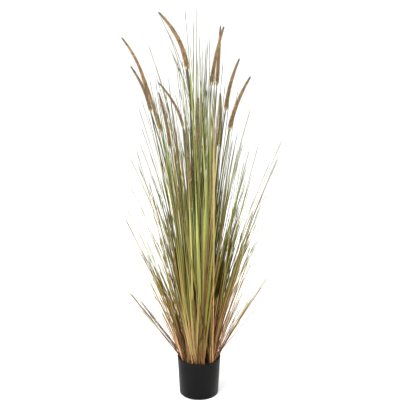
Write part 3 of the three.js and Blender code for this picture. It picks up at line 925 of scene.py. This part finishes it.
def root_near(dice, foot):
    """A place for a blade's root round a foot, inside the pot."""
    around = dice.uniform(0, FULL_TURN)
    offset = ROOT_SPREAD * math.sqrt(dice.random())
    root = foot + (offset * math.cos(around), offset * math.sin(around), 0)
    level = math.hypot(root[0], root[1])
    root[:2] *= min(1, ROOT_LIMIT / level)
    return root


def swaying_line(dice, root, rise, sway):
    """A line that leaves a root, leans to one side of its rise, and stays in the frame's box."""
    around = dice.uniform(0, FULL_TURN)
    lean = np.array(BLADE_SHARES) * abs(dice.gauss(0, sway)) * rise[-1, 2]
    places = root + rise
    places[:, 0] += lean * math.cos(around)
    places[:, 1] += lean * math.sin(around)
    return Line(within_reach(places, root))


def within_reach(places, root):
    """Pulls a line in towards upright until its end is inside the frame's box."""
    low, high = cad_box
    pull = 1.0
    for axis in (0, 1):
        travel = places[-1, axis] - root[axis]
        if travel > 0:
            pull = min(pull, (high[axis] - root[axis]) / travel)
        elif travel < 0:
            pull = min(pull, (low[axis] - root[axis]) / travel)
    pulled = places.copy()
    pulled[:, :2] = root[:2] + (places[:, :2] - root[:2]) * pull
    return pulled


def twin_line(dice, foot, leader, sway):
    rise = (leader.at(BLADE_SHARES) - foot) * dice.uniform(*TWIN_HEIGHT)
    return swaying_line(dice, root_near(dice, foot), rise, sway)


def follower_line(dice, foot, leaders, sway):
    """A line between two of the tuft's leaders and shorter than they are."""
    main = leaders[0] if dice.random() < 0.4 else dice.choice(leaders)
    other = dice.choice(leaders)
    share = dice.uniform(0, FOLLOWER_MIX)
    rise = mixed(main.at(BLADE_SHARES), other.at(BLADE_SHARES), share) - foot
    leaning = math.hypot(*rise[-1, :2]) / rise[-1, 2]
    shortest, tallest = FOLLOWER_HEIGHT
    height = dice.uniform(shortest, tallest - LEANING_LOSS * min(leaning, 1 - shortest))
    reach = height * dice.uniform(*FOLLOWER_REACH)
    return swaying_line(dice, root_near(dice, foot), rise * (reach, reach, height), sway)


def dryness_of(dice, tallness):
    """Most blades are green, some are straw, and a few are brown."""
    chance = dice.random()
    brown = mixed(*BROWN_SHARE, tallness)
    straw = mixed(*STRAW_SHARE, tallness)
    if chance < brown:
        return dice.uniform(*BROWN_DRYNESS)
    if chance < brown + straw:
        return dice.uniform(*STRAW_DRYNESS)
    return dice.uniform(*GREEN_DRYNESS)


def width_of(dice, tallness):
    """Some blades are broad, and the rest are wiry."""
    if dice.random() < mixed(*BROAD_SHARE, tallness):
        return dice.uniform(mixed(*BROAD_NARROWEST, tallness), mixed(*BROAD_WIDEST, tallness))
    return dice.uniform(*WIRY_WIDTH)


def make_tuft(number, blade, collar, film, plastic):
    node_name = f"grass_tuft_{number:02d}"
    dice = random.Random(node_name)
    foot, leaders = tuft_lines(node_name)
    tallness = (leaders[0].places[-1][2] - LOW_TUFT) / (TALL_TUFT - LOW_TUFT)
    leader_width = mixed(*LEADER_WIDTH, tallness)
    leader_tone = LEADER_TONE
    leader_dryness = mixed(*LEADER_MOST_DRYNESS, tallness)
    if number in FRONT_LEADERS:
        leader_width = FRONT_LEADERS[number]
        leader_tone = FRONT_LEADER_TONE
        leader_dryness = FRONT_LEADER_MOST_DRYNESS
    others = []
    shapes = []
    for leader in leaders:
        dryness = dice.uniform(0, leader_dryness)
        tone = dice.uniform(*leader_tone)
        shapes.append(blade_on(blade, leader, dice, leader_width, LEADER_TURN, dryness, tone))
        for _ in range(TWINS):
            line = twin_line(dice, foot, leader, mixed(*TWIN_SWAY, tallness))
            others.append((line, dice.uniform(*WIRY_WIDTH)))
    for _ in range(round(mixed(*FOLLOWERS, tallness))):
        line = follower_line(dice, foot, leaders, mixed(*FOLLOWER_SWAY, tallness))
        others.append((line, width_of(dice, tallness)))
    for line, width in others:
        dryness = dryness_of(dice, tallness)
        tone = TONE_MOST * dice.betavariate(TONE_SPREAD, TONE_SPREAD)
        dried_width = width * mixed(1, DRIEST_WIDTH, dryness)
        shapes.append(blade_on(blade, line, dice, dried_width, BLADE_TURN, dryness, tone))
    stand = np.array([foot[0], foot[1], FILL_HIGH.z + FILL_GAP])
    shapes.append(Shape(collar.points + stand, collar.faces, {}, collar.material))
    tuft = piece_from(f"tuft_{number:02d}", shapes, [film, plastic])
    finish_piece(tuft, node_name, 35)
    return foot


# The stage, the lights and the camera.

def make_stage(paint):
    """A round floor that turns up into a wall far behind, so that no edge shows from any side."""
    stage = add_start(
        bpy.ops.mesh.primitive_circle_add, "floor",
        vertices=STAGE_SIDES, radius=STAGE_RADIUS, fill_type="NGON",
    )
    bpy.ops.mesh.select_all(action="SELECT")
    bpy.ops.mesh.extrude_region_move(TRANSFORM_OT_translate={"value": (0, 0, STAGE_WALL)})
    pick("faces", lambda face: face.calc_center_median().z > STAGE_WALL - JOIN_DISTANCE)
    bpy.ops.mesh.delete(type="ONLY_FACE")
    pick("edges", lambda edge: all(point.co.z < JOIN_DISTANCE for point in edge.verts))
    bpy.ops.mesh.bevel(offset=STAGE_BEND, segments=16)
    bpy.ops.mesh.select_all(action="SELECT")
    bpy.ops.mesh.normals_make_consistent(inside=True)
    end_editing()
    bpy.ops.object.shade_smooth_by_angle(angle=math.radians(60))
    stage.data.materials.append(paint)


def make_light(name, place, size, power):
    """A soft square light that faces the middle of the plant."""
    data = bpy.data.lights.new(name, "AREA")
    data.size = size
    data.energy = power
    light = bpy.data.objects.new(name, data)
    light.location = place
    light.rotation_euler = (Vector((0, 0, 0.7)) - Vector(place)).to_track_quat("-Z", "Y").to_euler()
    bpy.context.collection.objects.link(light)


def make_surroundings():
    world = bpy.data.worlds.new("studio")
    world.use_nodes = True
    world.node_tree.nodes.clear()
    white = add_node(world, "Background", inputs={"Color": srgb("#ffffff"), "Strength": 1.06})
    add_node(world, "OutputWorld", inputs={"Surface": white.outputs[0]})
    bpy.context.scene.world = world
    bpy.context.scene.view_settings.view_transform = "Standard"


def make_camera():
    data = bpy.data.cameras.new("camera")
    data.lens = CAMERA_LENS
    data.sensor_width = CAMERA_SENSOR
    camera = bpy.data.objects.new("camera", data)
    camera.location = CAMERA_PLACE
    camera.rotation_euler = (math.pi / 2 - CAMERA_DOWN, 0, 0)
    bpy.context.collection.objects.link(camera)
    bpy.context.scene.camera = camera


make_camera()
make_surroundings()
make_light("key", (-1.7, -2.5, 2.4), 1.4, 150)
make_light("fill", (2.4, -1.8, 1.4), 2.0, 18)
make_light("back", (0.8, 2.8, 2.2), 1.6, 30)
make_stage(pale_paint())

wire = coated_wire()
bristle_fibre = spun_bristle()
film = printed_film()
polyethylene = collar_plastic()
stem_shape = straight_stem()
spike_shape = straight_spike()
blade_shape = straight_blade()
collar_shape = tuft_collar()

feet = []
for number in range(1, count_of("flower_stem_") + 1):
    feet.append(make_flower(number, stem_shape, spike_shape, wire, bristle_fibre))
for number in range(1, count_of("grass_tuft_") + 1):
    feet.append(make_tuft(number, blade_shape, collar_shape, film, polyethylene))
make_fill(cast_cement(), feet)
make_pot(moulded_polypropylene())
